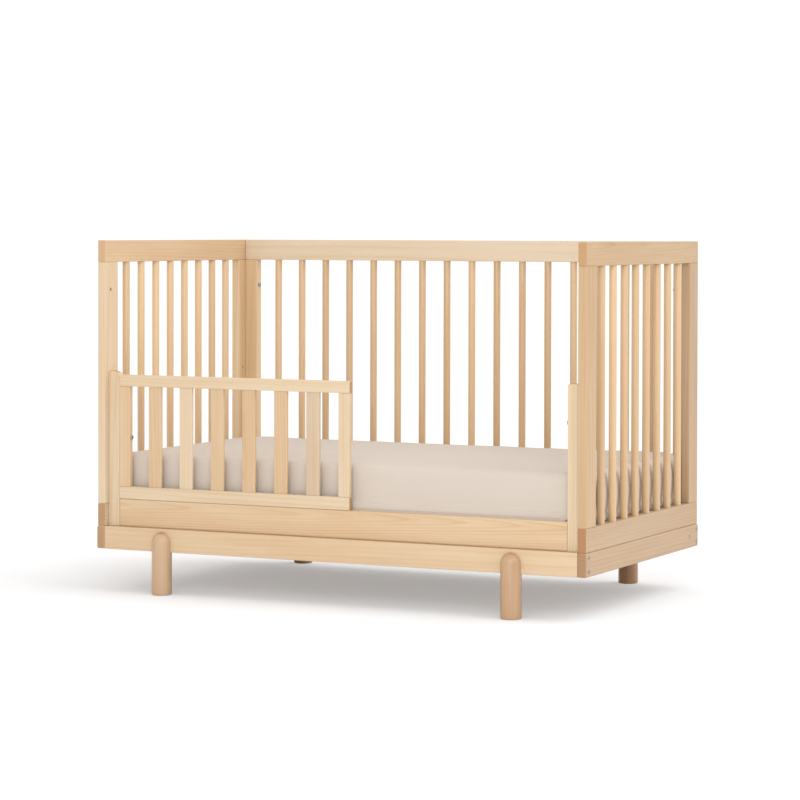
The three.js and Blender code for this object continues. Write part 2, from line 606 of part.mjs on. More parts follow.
// Mattress support: an angle-iron frame with a wire grid and four hanger plates, all welded.
function addMattressSupport() {
  const support = group("mattress_support");
  const inside = (margin) => [
    [-deckX + margin, deckX - margin],
    [deckY[0] + margin, deckY[1] - margin],
  ];
  const outer = plainBox([-deckX, deckX], deckY, deckZ);
  const below = plainBox(...inside(DECK_STEEL), [deckZ[0] - OVERRUN, deckZ[1] - DECK_STEEL]);
  const opening = plainBox(...inside(DECK_FLANGE), [deckZ[0] - OVERRUN, deckZ[1] + OVERRUN]);
  const frame = cut(outer, [below, opening]);

  const wires = [];
  const weld = 1; // wires run this far into what they cross
  const longZ = [deckZ[1] - DECK_STEEL - DECK_WIRE, deckZ[1] - DECK_STEEL + weld];
  const crossZ = [longZ[0] - DECK_WIRE + weld, longZ[0] + weld];
  const wireEndX = [-deckX + DECK_STEEL - weld, deckX - DECK_STEEL + weld];
  const wireEndY = [deckY[0] + DECK_STEEL - weld, deckY[1] - DECK_STEEL + weld];
  for (let i = 1; i <= DECK_LONG_WIRES; i++) {
    const y = deckY[0] + (span(deckY) * i) / (DECK_LONG_WIRES + 1);
    wires.push(plainBox(wireEndX, between(y, DECK_WIRE), longZ));
  }
  for (let i = 1; i <= DECK_CROSS_WIRES; i++) {
    const x = -deckX + (2 * deckX * i) / (DECK_CROSS_WIRES + 1);
    wires.push(plainBox(between(x, DECK_WIRE), wireEndY, crossZ));
  }

  const hangers = [];
  for (const side of [LEFT, RIGHT])
    for (const face of [FRONT, BACK]) {
      const plateX = ordered(side * hangerX[1], side * (hangerX[1] - DECK_STEEL));
      const y = between(hangerY(face), HANGER_WIDTH);
      const plate = plainBox(plateX, y, hangerZ);
      const lug = plainBox(ordered(side * (deckX - weld), side * (hangerX[1] - weld)), y, [
        deckZ[0],
        deckZ[0] + DECK_STEEL,
      ]);
      const holeLength = HANGER_GAP + DECK_STEEL + 2 * OVERRUN;
      const holeX = side * (innerX + OVERRUN);
      const hole = boltHole(holeX, hangerY(face), hangerHoleZ, -side * holeLength);
      hangers.push(cut(join([plate, lug]), [hole]));
    }
  add(support, "mattress_support", join([frame, ...wires, ...hangers]), deckSteel);
}

// Mattress in its fitted sheet: one pad with round corners and edges, lying on the support.
function addMattress() {
  const padY = [frontY[1] + MATTRESS_SIDE_CLEARANCE, backY[0] - MATTRESS_SIDE_CLEARANCE];
  const length = 2 * (innerX - MATTRESS_END_CLEARANCE);
  const outline = roundRectangle(length, span(padY), MATTRESS_CORNER);
  const pad = easedExtrude(outline, MATTRESS_THICKNESS, MATTRESS_EDGE, 2, 3);
  const padZ = deckZ[1] + MATTRESS_GAP + MATTRESS_THICKNESS / 2;
  add(group("bedding"), "mattress", pad.translate(0, middle(padY), padZ), sheetCotton);
}

addBase();
addLegs();
addEndPanels();
addBackPanel();
addFrontKit();
addGuard();
addMattressSupport();
addMattress();

export default crib;
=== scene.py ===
"""Looks of a baby crib made up as a toddler bed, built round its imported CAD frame.

Metres, +X along the bed to the right, +Y from the front to the back, +Z up from the floor.
"""

import math
import random

import bmesh
import bpy
from mathutils import Matrix, Vector, noise
from mathutils.bvhtree import BVHTree


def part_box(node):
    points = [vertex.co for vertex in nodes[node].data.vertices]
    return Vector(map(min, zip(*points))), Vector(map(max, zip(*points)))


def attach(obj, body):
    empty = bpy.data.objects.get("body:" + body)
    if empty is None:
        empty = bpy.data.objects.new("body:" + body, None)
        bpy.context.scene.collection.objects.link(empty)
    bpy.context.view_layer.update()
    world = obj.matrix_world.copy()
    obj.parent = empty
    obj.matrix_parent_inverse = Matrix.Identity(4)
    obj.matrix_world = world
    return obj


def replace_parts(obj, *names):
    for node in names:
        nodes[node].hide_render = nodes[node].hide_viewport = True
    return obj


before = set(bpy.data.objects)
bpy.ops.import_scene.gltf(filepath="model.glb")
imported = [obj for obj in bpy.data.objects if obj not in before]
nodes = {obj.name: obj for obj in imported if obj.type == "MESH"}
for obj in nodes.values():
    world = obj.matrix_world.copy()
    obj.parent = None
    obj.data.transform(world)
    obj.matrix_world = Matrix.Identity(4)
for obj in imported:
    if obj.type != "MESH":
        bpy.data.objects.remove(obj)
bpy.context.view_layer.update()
scene = bpy.context.scene

MM = 0.001

# ---- camera, light and floor ----------------------------------------------------------------

CAMERA_PLACE = (3.22568, -6.50034, 0.94316)
CAMERA_YAW = 26.01  # degrees to the left of +Y
CAMERA_PITCH = -1.0
CAMERA_ROLL = 0.12
CAMERA_LENS = 124.74  # on the 36 mm wide sensor
CAMERA_SHIFT = (-0.0227, -0.1534)


def make_camera():
    yaw, pitch, roll = (math.radians(a) for a in (CAMERA_YAW, CAMERA_PITCH, CAMERA_ROLL))
    forward = Vector((-math.sin(yaw) * math.cos(pitch), math.cos(yaw) * math.cos(pitch),
                      math.sin(pitch)))
    level = Vector((math.cos(yaw), math.sin(yaw), 0))
    up = level.cross(forward)
    right = math.cos(roll) * level + math.sin(roll) * up
    above = -math.sin(roll) * level + math.cos(roll) * up
    data = bpy.data.cameras.new("camera")
    data.lens, data.sensor_width = CAMERA_LENS, 36
    data.shift_x, data.shift_y = CAMERA_SHIFT
    data.clip_end = 200
    camera = bpy.data.objects.new("camera", data)
    turn = Matrix((right, above, -forward)).transposed().to_4x4()
    camera.matrix_world = Matrix.Translation(CAMERA_PLACE) @ turn
    scene.collection.objects.link(camera)
    scene.camera = camera


def area_light(name, place, target, size, power):
    data = bpy.data.lights.new(name, "AREA")
    data.shape, data.size, data.size_y = "RECTANGLE", size[0], size[1]
    data.energy = power
    light = bpy.data.objects.new(name, data)
    light.location = place
    light.rotation_euler = (Vector(target) - Vector(place)).to_track_quat("-Z", "Y").to_euler()
    scene.collection.objects.link(light)


BACKDROP_LEVEL = 1.05  # what the camera sees behind the crib
FILL_LEVEL = 0.9  # what lights it evenly from all round
FILL_COLOUR = (1, 0.99, 0.975, 1)
OVERHEAD_LEVEL = 1.35
OVERHEAD_SPREAD = 60  # degrees
OVERHEAD_DIRECTION = (-0.85, -0.3, -1.0)


def make_surroundings():
    world = bpy.data.worlds.new("studio")
    world.use_nodes = True
    scene.world = world
    g = Graph(world.node_tree)
    g.tree.nodes.clear()
    seen = g.add("Background", {"Color": (1, 1, 1, 1), "Strength": BACKDROP_LEVEL})
    lit = g.add("Background", {"Color": FILL_COLOUR, "Strength": FILL_LEVEL})
    rays = g.add("LightPath")
    mix = g.add("MixShader", {0: rays.outputs["Is Camera Ray"], 1: lit.outputs[0],
                              2: seen.outputs[0]})
    g.add("OutputWorld", {"Surface": mix.outputs[0]})
    sky = bpy.data.lights.new("overhead_softbox", "SUN")
    sky.energy, sky.angle = OVERHEAD_LEVEL, math.radians(OVERHEAD_SPREAD)
    above = bpy.data.objects.new("overhead_softbox", sky)
    above.rotation_euler = Vector(OVERHEAD_DIRECTION).to_track_quat("-Z", "Y").to_euler()
    scene.collection.objects.link(above)
    area_light("front_softbox", (1.9, -4.4, 2.0), (0, 0, 0.45), (3.4, 2.0), 85)
    scene.view_settings.view_transform = "Standard"
    scene.view_settings.look = "None"


def make_floor():
    """A pale painted floor that runs to the horizon, and reads as bright as the backdrop."""
    bm = bmesh.new()
    bmesh.ops.create_grid(bm, x_segments=4, y_segments=4, size=40)
    bmesh.ops.translate(bm, verts=bm.verts, vec=(0, 0, -0.0005))
    mesh = bpy.data.meshes.new("studio_floor")
    bm.to_mesh(mesh)
    bm.free()
    floor = bpy.data.objects.new("studio_floor", mesh)
    scene.collection.objects.link(floor)
    paint, g, shader, bump = blank_material("floor_paint", 0.0005, 0.05)
    speckle = g.noise(g.add("TexCoord").outputs["Object"], 40.0, 3.0)
    paint_colour = g.mix(speckle, (0.86, 0.86, 0.86, 1), (0.9, 0.9, 0.9, 1))
    g.tree.links.new(paint_colour, shader.inputs["Base Color"])
    g.tree.links.new(speckle, bump.inputs["Height"])
    shader.inputs["Roughness"].default_value = 0.9
    shader.inputs["Specular IOR Level"].default_value = 0.1
    seen = g.add("BsdfDiffuse", {"Color": (0.62, 0.638, 0.66, 1)})
    glow = g.add("Emission", {"Color": (1, 0.945, 0.91, 1), "Strength": 0.3})
    both = g.add("AddShader", {0: seen.outputs[0], 1: glow.outputs[0]})
    rays = g.add("LightPath")
    mix = g.add("MixShader", {0: rays.outputs["Is Camera Ray"], 1: shader.outputs[0],
                              2: both.outputs[0]})
    g.tree.links.new(mix.outputs[0], g.tree.nodes["Material Output"].inputs["Surface"])
    mesh.materials.append(paint)


# ---- shared shader effects -----------------------------------------------------------------


class Graph:
    """Adds nodes to a tree, with inputs given as plain values or as the outputs of other nodes."""

    def __init__(self, tree):
        self.tree = tree

    def add(self, kind, inputs=None, **settings):
        made = self.tree.nodes.new("ShaderNode" + kind)
        for key, value in settings.items():
            setattr(made, key, value)
        for key, value in (inputs or {}).items():
            if isinstance(value, bpy.types.NodeSocket):
                self.tree.links.new(value, made.inputs[key])
            else:
                made.inputs[key].default_value = value
        return made

    def math(self, operation, a, b=0.0, c=0.0, clamp=False):
        made = self.add("Math", {0: a, 1: b, 2: c}, operation=operation, use_clamp=clamp)
        return made.outputs[0]

    def stretch(self, vector, scale):
        made = self.add("VectorMath", {0: vector, 1: scale}, operation="MULTIPLY")
        return made.outputs[0]

    def noise(self, vector, scale, detail=2.0, roughness=0.5, output="Fac"):
        inputs = {"Vector": vector, "Scale": scale, "Detail": detail, "Roughness": roughness}
        return self.add("TexNoise", inputs).outputs[output]

    def ramp(self, value, stops):
        made = self.add("ValToRGB", {"Fac": value})
        elements = made.color_ramp.elements
        while len(elements) > 1:
            elements.remove(elements[-1])
        elements[0].position, elements[0].color = stops[0][0], (stops[0][1],) * 3 + (1,)
        for place, level in stops[1:]:
            elements.new(place).color = (level,) * 3 + (1,)
        return self.add("RGBToBW", {0: made.outputs["Color"]}).outputs[0]

    def mix(self, share, a, b, blend="MIX"):
        made = self.add("Mix", {0: share}, data_type="RGBA", blend_type=blend)
        for key, value in ((6, a), (7, b)):
            if isinstance(value, bpy.types.NodeSocket):
                self.tree.links.new(value, made.inputs[key])
            else:
                made.inputs[key].default_value = value
        return made.outputs[2]

    def axes(self, vector):
        return self.add("SeparateXYZ", {0: vector}).outputs


KINDS = {"colour": "NodeSocketColor", "value": "NodeSocketFloat", "vector": "NodeSocketVector"}


def effect(name, inputs, outputs):
    """A node group with named sockets: inputs are (name, kind, default), outputs (name, kind)."""
    group = bpy.data.node_groups.new(name, "ShaderNodeTree")
    for label, kind, default in inputs:
        socket = group.interface.new_socket(label, in_out="INPUT", socket_type=KINDS[kind])
        socket.default_value = default
    for label, kind in outputs:
        group.interface.new_socket(label, in_out="OUTPUT", socket_type=KINDS[kind])
    graph = Graph(group)
    return group, graph, (
        group.nodes.new("NodeGroupInput").outputs,
        group.nodes.new("NodeGroupOutput").inputs,
    )


def timber_grain():
    """Growth rings round a tapering log along x, a knot, fibres, pores, end grain, painted highlight
    on eased edges.
    """
    group, g, (given, out) = effect(
        "timber_grain",
        [
            ("Along grain", "vector", (0, 0, 0)),
            ("Facing", "vector", (0, 0, 1)),
            ("Early wood", "colour", (0.8, 0.6, 0.4, 1)),
            ("Late wood", "colour", (0.6, 0.4, 0.25, 1)),
            ("End grain", "colour", (0.5, 0.3, 0.2, 1)),
            ("Ring spacing", "value", 0.008),
            ("Ring strength", "value", 0.4),
            ("Fibre strength", "value", 0.3),
            ("Wander", "value", 0.01),
            ("Taper", "value", 0.012),
            ("Knot place", "vector", (0, 0, 9)),
            ("Knot size", "value", 0.004),
        ],
        [("Colour", "colour"), ("Roughness", "value"), ("Height", "value")],
    )
    along = given["Along grain"]
    slow = g.noise(g.stretch(along, (1.1, 5, 5)), 1.0, 1.0)
    quick = g.noise(g.stretch(along, (7, 45, 45)), 1.0, 2.0)
    x, y, z = g.axes(along)
    reach = g.math("SQRT", g.math("ADD", g.math("MULTIPLY", y, y), g.math("MULTIPLY", z, z)))
    bent = g.math("MULTIPLY_ADD", x, given["Taper"], reach)
    bent = g.math("MULTIPLY_ADD", g.math("SUBTRACT", slow, 0.5), given["Wander"], bent)
    bent = g.math("MULTIPLY_ADD", g.math("SUBTRACT", quick, 0.5), 0.0022, bent)
    apart = g.add("VectorMath", {0: along, 1: given["Knot place"]},
                  operation="DISTANCE").outputs["Value"]
    size = given["Knot size"]
    crowd = g.math("DIVIDE", g.math("MULTIPLY", size, size), g.math("ADD", apart, size))
    bent = g.math("MULTIPLY_ADD", crowd, 3.0, bent)
    turns = g.math("DIVIDE", bent, given["Ring spacing"])
    rings = g.ramp(g.math("FRACT", turns),
                   [(0, 0.2), (0.3, 0.0), (0.7, 0.3), (0.92, 1.0), (1.0, 0.2)])
    years = g.noise(g.add("CombineXYZ", {"X": turns}).outputs[0], 0.45, 2.0, 0.7)
    rings = g.math("MULTIPLY", rings, g.math("MULTIPLY_ADD", years, 2.4, -0.6, clamp=True))
    fibres = g.noise(g.stretch(along, (9, 420, 420)), 1.0, 4.0, 0.62)
    pores = g.noise(g.stretch(along, (38, 1500, 1500)), 1.0, 1.0)
    pores = g.ramp(pores, [(0.0, 0.0), (0.62, 0.0), (0.74, 1.0)])
    streaks = g.noise(g.stretch(along, (1.6, 70, 70)), 1.0, 3.0, 0.6)
    clouds = g.noise(g.stretch(along, (2.6, 14, 14)), 1.0, 2.0)
    tone = g.math("MULTIPLY", rings, given["Ring strength"])
    tone = g.math("MULTIPLY_ADD", g.math("SUBTRACT", fibres, 0.35), given["Fibre strength"], tone)
    tone = g.math("MULTIPLY_ADD", g.math("SUBTRACT", streaks, 0.42), 0.8, tone)
    tone = g.math("MULTIPLY_ADD", g.math("SUBTRACT", clouds, 0.4), 0.6, tone)
    tone = g.math("MULTIPLY_ADD", pores, g.math("MULTIPLY", given["Fibre strength"], 0.5), tone)
    tone = g.math("ADD", tone, 0.0, clamp=True)
    side = g.mix(tone, given["Early wood"], given["Late wood"])
    near = g.math("DIVIDE", apart, size)
    knot = g.ramp(g.math("MULTIPLY", near, 0.5),
                  [(0.0, 0.75), (0.25, 0.5), (0.42, 0.95), (0.6, 0.25), (1.0, 0.0)])
    side = g.mix(knot, side, g.mix(0.6, given["End grain"], given["Late wood"], "MULTIPLY"))
    nx, ny, nz = g.axes(g.add("VectorMath", {0: given["Facing"]}, operation="ABSOLUTE").outputs[0])
    cut = g.ramp(nx, [(0.0, 0.0), (0.75, 0.0), (0.93, 1.0)])
    end_rings = g.math("MULTIPLY_ADD", rings, 0.55, g.math("MULTIPLY", fibres, 0.5), clamp=True)
    end = g.mix(end_rings, given["End grain"], given["Late wood"], "MULTIPLY")
    end = g.mix(0.35, given["End grain"], end)
    flat = g.math("MAXIMUM", nx, g.math("MAXIMUM", ny, nz))
    eased = g.ramp(flat, [(0.0, 1.0), (0.93, 1.0), (0.985, 0.0)])
    whole = g.mix(cut, side, end)
    # Painted highlight: the eased edges are drawn towards the paler early wood, as where they catch
    # the light.
    edge_highlighted = g.mix(g.math("MULTIPLY", eased, 0.16), whole, given["Early wood"])
    g.tree.links.new(edge_highlighted, out["Colour"])
    rough = g.math("MULTIPLY_ADD", fibres, 0.22, 0.34)
    rough = g.math("MULTIPLY_ADD", cut, 0.12, rough)
    g.tree.links.new(g.math("MULTIPLY_ADD", eased, -0.06, rough), out["Roughness"])
    height = g.math("MULTIPLY_ADD", rings, -0.35, fibres)
    g.tree.links.new(g.math("MULTIPLY_ADD", pores, -0.6, height), out["Height"])
    return group


def woven_threads():
    """Plain weave seen square on to each face, with slubs and a soft uneven dye."""
    group, g, (given, out) = effect(
        "woven_threads",
        [
            ("Place", "vector", (0, 0, 0)),
            ("Facing", "vector", (0, 0, 1)),
            ("Yarn", "colour", (0.8, 0.7, 0.6, 1)),
            ("Gaps", "colour", (0.5, 0.4, 0.35, 1)),
            ("Thread pitch", "value", 0.0008),
            ("Contrast", "value", 0.2),
        ],
        [("Colour", "colour"), ("Roughness", "value"), ("Height", "value")],
    )
    x, y, z = g.axes(given["Place"])
    nx, _, nz = g.axes(g.add("VectorMath", {0: given["Facing"]}, operation="ABSOLUTE").outputs[0])
    on_top = g.ramp(nz, [(0.0, 0.0), (0.66, 0.0), (0.74, 1.0)])
    on_end = g.ramp(nx, [(0.0, 0.0), (0.66, 0.0), (0.74, 1.0)])
    across = g.math("ADD", g.math("MULTIPLY", x, g.math("SUBTRACT", 1.0, on_end)),
                    g.math("MULTIPLY", y, on_end))
    down = g.math("ADD", g.math("MULTIPLY", z, g.math("SUBTRACT", 1.0, on_top)),
                  g.math("MULTIPLY", y, on_top))
    waves = []
    for place in (across, down):
        turn = g.math("DIVIDE", g.math("MULTIPLY", place, math.pi), given["Thread pitch"])
        waves.append(g.math("SINE", turn))
    weave = g.math("MULTIPLY", waves[0], waves[1])
    ribs = g.math("ADD", g.math("ABSOLUTE", waves[0]), g.math("ABSOLUTE", waves[1]))
    cloth = g.math("MULTIPLY_ADD", weave, 0.25, g.math("MULTIPLY", ribs, 0.4))
    slubs = g.noise(g.stretch(given["Place"], (90, 700, 700)), 1.0, 2.0)
    dye = g.noise(given["Place"], 9.0, 3.0)
    share = g.math("SUBTRACT", 1.0, cloth, clamp=True)
    share = g.math("MULTIPLY", share, given["Contrast"])
    share = g.math("MULTIPLY_ADD", g.math("SUBTRACT", slubs, 0.5), 0.14, share)
    share = g.math("MULTIPLY_ADD", g.math("SUBTRACT", dye, 0.5), 0.10, share, clamp=True)
    g.tree.links.new(g.mix(share, given["Yarn"], given["Gaps"]), out["Colour"])
    g.tree.links.new(g.math("MULTIPLY_ADD", slubs, 0.12, 0.82), out["Roughness"])
    g.tree.links.new(g.math("MULTIPLY_ADD", slubs, 0.4, cloth), out["Height"])
    return group


def handled_surface():
    """Fine speckle, mottled sheen and small scuffs of a coated or plated metal part."""
    group, g, (given, out) = effect(
        "handled_surface",
        [
            ("Place", "vector", (0, 0, 0)),
            ("Base", "colour", (0.7, 0.7, 0.7, 1)),
            ("Mottle", "colour", (0.5, 0.5, 0.5, 1)),
            ("Grain size", "value", 0.001),
            ("Roughness", "value", 0.4),
        ],
        [("Colour", "colour"), ("Roughness", "value"), ("Height", "value")],
    )
    fine = g.add("VectorMath", {0: given["Place"], 3: g.math("DIVIDE", 1.0, given["Grain size"])},
                 operation="SCALE").outputs[0]
    peel = g.noise(fine, 1.0, 2.0)
    broad = g.noise(given["Place"], 22.0, 3.0)
    scuffs = g.ramp(g.noise(g.stretch(given["Place"], (60, 300, 900)), 1.0, 2.0),
                    [(0.0, 0.0), (0.64, 0.0), (0.72, 1.0)])
    share = g.math("MULTIPLY_ADD", peel, 0.4, g.math("MULTIPLY", broad, 0.5), clamp=True)
    g.tree.links.new(g.mix(share, given["Base"], given["Mottle"]), out["Colour"])
    rough = g.math("MULTIPLY_ADD", broad, 0.16, given["Roughness"])
    g.tree.links.new(g.math("MULTIPLY_ADD", scuffs, 0.12, rough), out["Roughness"])
    g.tree.links.new(g.math("MULTIPLY_ADD", scuffs, -0.3, peel), out["Height"])
    return group


GRAIN, WEAVE, HANDLED = timber_grain(), woven_threads(), handled_surface()


STUDIO_LEVEL = 1.4  # how far the studio light lifts a surface above its own reflectance


def srgb(red, green, blue):
    """The linear colour of a surface that shows as these 0-255 values in the studio light."""
    linear = []
    for level in (red, green, blue):
        c = level / 255
        linear.append((c / 12.92 if c <= 0.04045 else ((c + 0.055) / 1.055) ** 2.4) / STUDIO_LEVEL)
    return (*linear, 1)


def blank_material(name, bump_distance, bump_strength):
    """A material with its Principled shader and a Bump node that feeds the shader's Normal."""
    made = bpy.data.materials.new(name)
    made.use_nodes = True
    g = Graph(made.node_tree)
    shader = made.node_tree.nodes["Principled BSDF"]
    bump = g.add("Bump", {"Strength": bump_strength, "Distance": bump_distance})
    g.tree.links.new(bump.outputs[0], shader.inputs["Normal"])
    return made, g, shader, bump


EARLY_LIFT = 0.2  # early wood above the mean shade, as a part of what is left up to white
LATE_PARTS = (0.93, 0.865, 0.79)  # late wood against the mean shade

# Turns of a piece's coordinates that bring the given axis onto the grain's own x.
GRAIN_TURN = {"x": (0, 0, 0), "y": (0, 0, -math.pi / 2), "z": (0, math.pi / 2, 0)}


def timber_finish(name, axis, centre, shade, end, seed, heart=0.06, spacing=0.008,
                  rings=0.5, fibres=0.3, wander=0.02, taper=0.012, knot=None):
    """Lacquered solid wood of a mean display shade, with its end grain in the display shade end.

    heart is how far the log's heart lies from the timber's middle, and knot a place on it.
    """
    dice = random.Random(seed)
    made, g, shader, bump = blank_material(name, 0.0004, 0.35)
    where = g.add("TexCoord")
    _, about_y, about_z = GRAIN_TURN[axis]
    turn = Matrix.Rotation(about_z, 3, "Z") @ Matrix.Rotation(about_y, 3, "Y")
    angle = dice.uniform(0.15, 0.85) * math.pi * dice.choice((-1, 1))
    away = Vector((dice.uniform(-9, 9), heart * math.cos(angle), heart * math.sin(angle)))
    place = away - turn @ Vector(centre)
    mapped = g.add("Mapping", {"Vector": where.outputs["Object"], "Location": place,
                               "Rotation": GRAIN_TURN[axis]}).outputs[0]
    facing = g.add("Mapping", {"Vector": where.outputs["Normal"],
                               "Rotation": GRAIN_TURN[axis]}, vector_type="VECTOR").outputs[0]
    grain = g.add("Group", node_tree=GRAIN)
    g.tree.links.new(mapped, grain.inputs["Along grain"])
    g.tree.links.new(facing, grain.inputs["Facing"])
    early = [level + (255 - level) * EARLY_LIFT for level in shade]
    late = [level * part for level, part in zip(shade, LATE_PARTS)]
    for label, value in (("Early wood", srgb(*early)), ("Late wood", srgb(*late)),
                         ("End grain", srgb(*end)), ("Ring spacing", spacing),
                         ("Ring strength", rings), ("Fibre strength", fibres), ("Wander", wander),
                         ("Taper", taper)):
        grain.inputs[label].default_value = value
    if knot:
        grain.inputs["Knot place"].default_value = turn @ Vector(knot) + place
    g.tree.links.new(grain.outputs["Colour"], shader.inputs["Base Color"])
    g.tree.links.new(grain.outputs["Roughness"], shader.inputs["Roughness"])
    g.tree.links.new(grain.outputs["Height"], bump.inputs["Height"])
    shader.inputs["Specular IOR Level"].default_value = 0.5
    shader.inputs["Coat Weight"].default_value = 0.12
    shader.inputs["Coat Roughness"].default_value = 0.3
    return made


def cloth_finish(name, yarn, gaps, pitch, contrast):
    made, g, shader, bump = blank_material(name, 0.0003, 0.3)
    where = g.add("TexCoord")
    weave = g.add("Group", node_tree=WEAVE)
    g.tree.links.new(where.outputs["Object"], weave.inputs["Place"])
    g.tree.links.new(where.outputs["Normal"], weave.inputs["Facing"])
    for label, value in (("Yarn", yarn), ("Gaps", gaps), ("Thread pitch", pitch),
                         ("Contrast", contrast)):
        weave.inputs[label].default_value = value
    g.tree.links.new(weave.outputs["Colour"], shader.inputs["Base Color"])
    g.tree.links.new(weave.outputs["Roughness"], shader.inputs["Roughness"])
    g.tree.links.new(weave.outputs["Height"], bump.inputs["Height"])
    shader.inputs["Specular IOR Level"].default_value = 0.25
    shader.inputs["Sheen Weight"].default_value = 0.12
    shader.inputs["Sheen Roughness"].default_value = 0.5
    return made


def metal_finish(name, base, mottle, size, roughness, metallic, distance):
    made, g, shader, bump = blank_material(name, distance, 0.3)
    where = g.add("TexCoord")
    worn = g.add("Group", node_tree=HANDLED)
    g.tree.links.new(where.outputs["Object"], worn.inputs["Place"])
    for label, value in (("Base", base), ("Mottle", mottle), ("Grain size", size),
                         ("Roughness", roughness)):
        worn.inputs[label].default_value = value
    g.tree.links.new(worn.outputs["Colour"], shader.inputs["Base Color"])
    g.tree.links.new(worn.outputs["Roughness"], shader.inputs["Roughness"])
    g.tree.links.new(worn.outputs["Height"], bump.inputs["Height"])
    shader.inputs["Metallic"].default_value = metallic
    return made


# ---- timbers --------------------------------------------------------------------------------

# Display shades of the lacquered boards, from the palest to the deepest; two of them are partly
# painted light.
# Partly painted light: paler than the board's own tone, where the crib's own shade falls on the back
# top rail.
PAINTED_LIGHT_CREAM = (250, 225, 190)
PALE = (240, 212, 171)
# Partly painted light: paler than the boards' own tone, where the crib's own shade falls on the rear
# left post and stile.
PAINTED_LIGHT_STRAW = (245, 208, 157)
HONEY = (238, 202, 155)
SAND = (227, 198, 162)
AMBER = (230, 191, 142)
TOFFEE = (212, 171, 119)
NUT = (201, 161, 116)

BOARDS = {
    PAINTED_LIGHT_CREAM: ("back_top_rail",),
    PALE: ("left_front_post", "left_support_stile", "right_support_stile", "guard_top_rail",
           "guard_bottom_rail", "guard_end_stile", "guard_slat_2"),
    PAINTED_LIGHT_STRAW: ("left_rear_post", "back_left_stile"),
    HONEY: ("apron", "base_front_rail", "guard_mounting_stile"),
    SAND: ("left_end_bottom_rail", "base_left_end_rail", "base_rear_rail", "back_bottom_rail",
           "back_right_stile", "guard_slat_6"),
    AMBER: ("left_end_top_rail", "guard_slat_1", "guard_slat_3", "guard_slat_4", "guard_slat_5"),
    TOFFEE: ("right_end_top_rail", "right_front_post"),
    NUT: ("right_end_bottom_rail", "right_rear_post", "base_right_end_rail"),
}

# End grain, where it is bare.
END_SHADE = (205, 162, 118)
END_SHADES = {
    "left_end_top_rail": (228, 190, 146),
    "right_end_top_rail": (214, 168, 116),
    "right_end_bottom_rail": (196, 144, 94),
    "base_front_rail": (190, 148, 108),
    "base_right_end_rail": (190, 148, 108),
}

# Boards cut near the heart of the log show arched grain, and a few have other marks.
BOARD_GRAIN = {
    "right_end_top_rail": {"heart": 0.022, "spacing": 0.007, "taper": 0.03},
    "left_end_top_rail": {"heart": 0.05, "spacing": 0.009},
    "apron": {"heart": 0.028, "spacing": 0.007, "taper": 0.035, "rings": 0.65, "wander": 0.03},
    "base_front_rail": {"heart": 0.09, "spacing": 0.009, "rings": 0.35},
    "base_right_end_rail": {"heart": 0.08, "spacing": 0.009, "knot": (0.69, 0.319, 0.1395)},
    "back_top_rail": {"heart": 0.07, "spacing": 0.012, "rings": 0.35},
    "guard_slat_3": {"heart": 0.02, "spacing": 0.006, "taper": 0.04, "rings": 0.6},
    "guard_slat_4": {"heart": 0.016, "spacing": 0.006, "taper": 0.04, "rings": 0.6},
    "guard_slat_6": {"heart": 0.02, "spacing": 0.006, "taper": 0.04, "rings": 0.6},
}


def middle_of(name):
    low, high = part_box(name)
    return (low + high) / 2


def dress(name, material):
    """Puts one material on a CAD piece."""
    materials = nodes[name].data.materials
    materials.clear()
    materials.append(material)


def dress_timbers():
    """Gives each CAD timber its own lacquered wood, with the grain along its longest side."""
    for shade, names in BOARDS.items():
        for name in names:
            low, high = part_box(name)
            sides = high - low
            axis = "xyz"[max(range(3), key=lambda i: sides[i])]
            grain = BOARD_GRAIN.get(name, {})
            dress(name, timber_finish("wood_" + name, axis, middle_of(name), shade,
                                      END_SHADES.get(name, END_SHADE), name, **grain))


# ---- new pieces -----------------------------------------------------------------------------


def add_piece(name, bm, material, body="crib_frame", smooth_angle=35):
    """Closes a bmesh into a named piece that rides on a body."""
    bmesh.ops.remove_doubles(bm, verts=bm.verts, dist=1e-6)
    bmesh.ops.recalc_face_normals(bm, faces=bm.faces)
    for face in bm.faces:
        face.smooth = True
    mesh = bpy.data.meshes.new(name)
    bm.to_mesh(mesh)
    bm.free()
    mesh.set_sharp_from_angle(angle=math.radians(smooth_angle))
    mesh.materials.append(material)
    piece = bpy.data.objects.new(name, mesh)
    scene.collection.objects.link(piece)
    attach(piece, body)
    return piece


def spun(profile, segments):
    """A surface spun round z from (radius, height) points, closed where they end on the axis."""
    bm = bmesh.new()
    line = [bm.verts.new((radius, 0, height)) for radius, height in profile]
    edges = [bm.edges.new(pair) for pair in zip(line, line[1:])]
    bmesh.ops.spin(bm, geom=line + edges, cent=(0, 0, 0), axis=(0, 0, 1), angle=2 * math.pi,
                   steps=segments, use_merge=True)
    bmesh.ops.remove_doubles(bm, verts=bm.verts, dist=1e-7)
    bmesh.ops.dissolve_degenerate(bm, edges=bm.edges, dist=1e-7)
    bmesh.ops.recalc_face_normals(bm, faces=bm.faces)
    return bm


SPINDLE_RADIUS = 9.5 * MM
SPINDLE_END_EASE = 1.2 * MM
SPINDLE_SHADE = (236, 195, 142)
SPINDLE_STEPS = (0, -7, 5, -3, 8, -10)  # how much lighter each of the spindle finishes is
SPINDLE_SEGMENTS = 32
END_SPINDLES = 8
BATTEN_HEIGHT = 14 * MM  # the hidden strip under each end's spindles
BATTEN_END = 6 * MM  # it runs this far past the outermost spindles' middles
BATTEN_CLEARANCE = 5 * MM
BATTEN_EASE = 0.8 * MM


